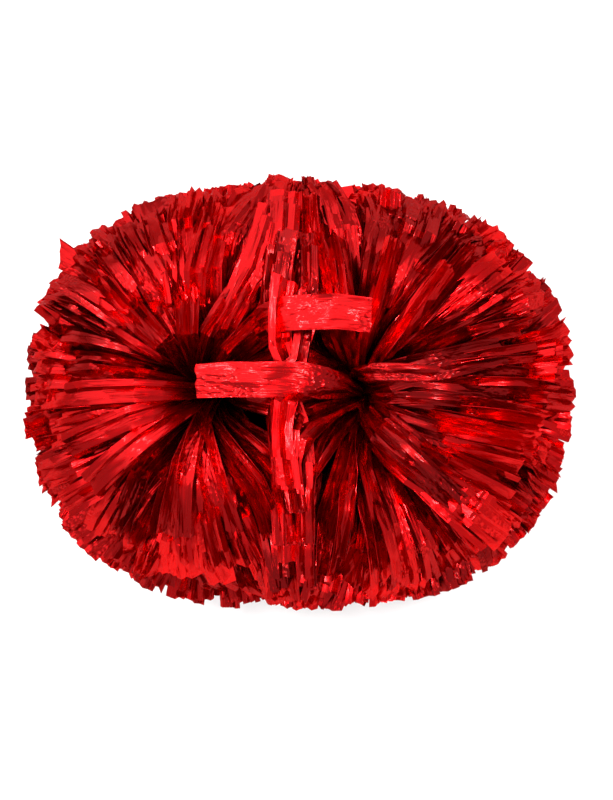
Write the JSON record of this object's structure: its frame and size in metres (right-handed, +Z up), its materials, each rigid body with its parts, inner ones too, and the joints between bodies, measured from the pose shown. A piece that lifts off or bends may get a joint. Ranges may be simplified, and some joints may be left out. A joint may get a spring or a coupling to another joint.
{
  "type": "cheer pom pom",
  "caption": "Baton-handle cheer pom pom: a fluffed oval ball of metallic film streamers in two tufts, bound to the two ends of a hollow baton with a hand grip between.",
  "frame": {"origin": "on the surface that the pom lies on, under the middle of its box", "axes": "+X along the baton, +Z up from the surface the pom lies on, +Y across the baton"},
  "size_m": [0.346, 0.277, 0.1779],
  "materials": {
    "film": "metallised, glossy",
    "baton_plastic": "satin",
    "cap_plastic": "satin",
    "tie_nylon": "satin",
    "binding_tape": "glossy"
  },
  "bodies": {
    "baton": {"grip_tube": "baton_plastic", "left_end_cap": "cap_plastic", "left_film_header": "film", "left_inner_cable_tie": "tie_nylon", "left_outer_cable_tie": "tie_nylon", "left_binding_tape": "binding_tape", "right_end_cap": "cap_plastic", "right_film_header": "film", "right_inner_cable_tie": "tie_nylon", "right_outer_cable_tie": "tie_nylon", "right_binding_tape": "binding_tape"},
    "left_pack_1": {"left_streamer_pack_1": "film"},
    "left_pack_2": {"left_streamer_pack_2": "film"},
    "left_pack_3": {"left_streamer_pack_3": "film"},
    "left_pack_4": {"left_streamer_pack_4": "film"},
    "left_pack_5": {"left_streamer_pack_5": "film"},
    "left_pack_6": {"left_streamer_pack_6": "film"},
    "left_pack_7": {"left_streamer_pack_7": "film"},
    "left_pack_8": {"left_streamer_pack_8": "film"},
    "left_crown": {"left_crown_streamers": "film"},
    "right_pack_1": {"right_streamer_pack_1": "film"},
    "right_pack_2": {"right_streamer_pack_2": "film"},
    "right_pack_3": {"right_streamer_pack_3": "film"},
    "right_pack_4": {"right_streamer_pack_4": "film"},
    "right_pack_5": {"right_streamer_pack_5": "film"},
    "right_pack_6": {"right_streamer_pack_6": "film"},
    "right_pack_7": {"right_streamer_pack_7": "film"},
    "right_pack_8": {"right_streamer_pack_8": "film"},
    "right_crown": {"right_crown_streamers": "film"}
  },
  "joints": [
    {"name": "left_pack_1_swing", "type": "hinge", "parent": "baton", "child": "left_pack_1", "pos_m": [-0.048, 0.02032, 0.08642], "axis": [0, -0.3827, 0.9239], "range_deg": [-3, 8], "stiffness_Nm_per_rad": 1},
    {"name": "left_pack_2_swing", "type": "hinge", "parent": "baton", "child": "left_pack_2", "pos_m": [-0.048, 0.00842, 0.09832], "axis": [0, -0.9239, 0.3827], "range_deg": [-3, 8], "stiffness_Nm_per_rad": 1},
    {"name": "left_pack_3_swing", "type": "hinge", "parent": "baton", "child": "left_pack_3", "pos_m": [-0.048, -0.00842, 0.09832], "axis": [0, -0.9239, -0.3827], "range_deg": [-3, 8], "stiffness_Nm_per_rad": 1},
    {"name": "left_pack_4_swing", "type": "hinge", "parent": "baton", "child": "left_pack_4", "pos_m": [-0.048, -0.02032, 0.08642], "axis": [0, -0.3827, -0.9239], "range_deg": [-3, 8], "stiffness_Nm_per_rad": 1},
    {"name": "left_pack_5_swing", "type": "hinge", "parent": "baton", "child": "left_pack_5", "pos_m": [-0.048, -0.02032, 0.06958], "axis": [0, 0.3827, -0.9239], "range_deg": [-3, 8], "stiffness_Nm_per_rad": 1},
    {"name": "left_pack_6_swing", "type": "hinge", "parent": "baton", "child": "left_pack_6", "pos_m": [-0.048, -0.00842, 0.05767], "axis": [0, 0.9239, -0.3827], "range_deg": [-3, 8], "stiffness_Nm_per_rad": 1},
    {"name": "left_pack_7_swing", "type": "hinge", "parent": "baton", "child": "left_pack_7", "pos_m": [-0.048, 0.00842, 0.05767], "axis": [0, 0.9239, 0.3827], "range_deg": [-3, 8], "stiffness_Nm_per_rad": 1},
    {"name": "left_pack_8_swing", "type": "hinge", "parent": "baton", "child": "left_pack_8", "pos_m": [-0.048, 0.02032, 0.06958], "axis": [0, 0.3827, 0.9239], "range_deg": [-3, 8], "stiffness_Nm_per_rad": 1},
    {"name": "left_crown_sway", "type": "hinge", "parent": "baton", "child": "left_crown", "pos_m": [-0.0766, 0, 0.078], "axis": [0, 1, 0], "range_deg": [-3, 3], "stiffness_Nm_per_rad": 1},
    {"name": "right_pack_1_swing", "type": "hinge", "parent": "baton", "child": "right_pack_1", "pos_m": [0.048, 0.02032, 0.08642], "axis": [0, 0.3827, -0.9239], "range_deg": [-3, 8], "stiffness_Nm_per_rad": 1},
    {"name": "right_pack_2_swing", "type": "hinge", "parent": "baton", "child": "right_pack_2", "pos_m": [0.048, 0.00842, 0.09832], "axis": [0, 0.9239, -0.3827], "range_deg": [-3, 8], "stiffness_Nm_per_rad": 1},
    {"name": "right_pack_3_swing", "type": "hinge", "parent": "baton", "child": "right_pack_3", "pos_m": [0.048, -0.00842, 0.09832], "axis": [0, 0.9239, 0.3827], "range_deg": [-3, 8], "stiffness_Nm_per_rad": 1},
    {"name": "right_pack_4_swing", "type": "hinge", "parent": "baton", "child": "right_pack_4", "pos_m": [0.048, -0.02032, 0.08642], "axis": [0, 0.3827, 0.9239], "range_deg": [-3, 8], "stiffness_Nm_per_rad": 1},
    {"name": "right_pack_5_swing", "type": "hinge", "parent": "baton", "child": "right_pack_5", "pos_m": [0.048, -0.02032, 0.06958], "axis": [0, -0.3827, 0.9239], "range_deg": [-3, 8], "stiffness_Nm_per_rad": 1},
    {"name": "right_pack_6_swing", "type": "hinge", "parent": "baton", "child": "right_pack_6", "pos_m": [0.048, -0.00842, 0.05767], "axis": [0, -0.9239, 0.3827], "range_deg": [-3, 8], "stiffness_Nm_per_rad": 1},
    {"name": "right_pack_7_swing", "type": "hinge", "parent": "baton", "child": "right_pack_7", "pos_m": [0.048, 0.00842, 0.05767], "axis": [0, -0.9239, -0.3827], "range_deg": [-3, 8], "stiffness_Nm_per_rad": 1},
    {"name": "right_pack_8_swing", "type": "hinge", "parent": "baton", "child": "right_pack_8", "pos_m": [0.048, 0.02032, 0.06958], "axis": [0, -0.3827, -0.9239], "range_deg": [-3, 8], "stiffness_Nm_per_rad": 1},
    {"name": "right_crown_sway", "type": "hinge", "parent": "baton", "child": "right_crown", "pos_m": [0.0766, 0, 0.078], "axis": [0, 1, 0], "range_deg": [-3, 3], "stiffness_Nm_per_rad": 1}
  ]
}
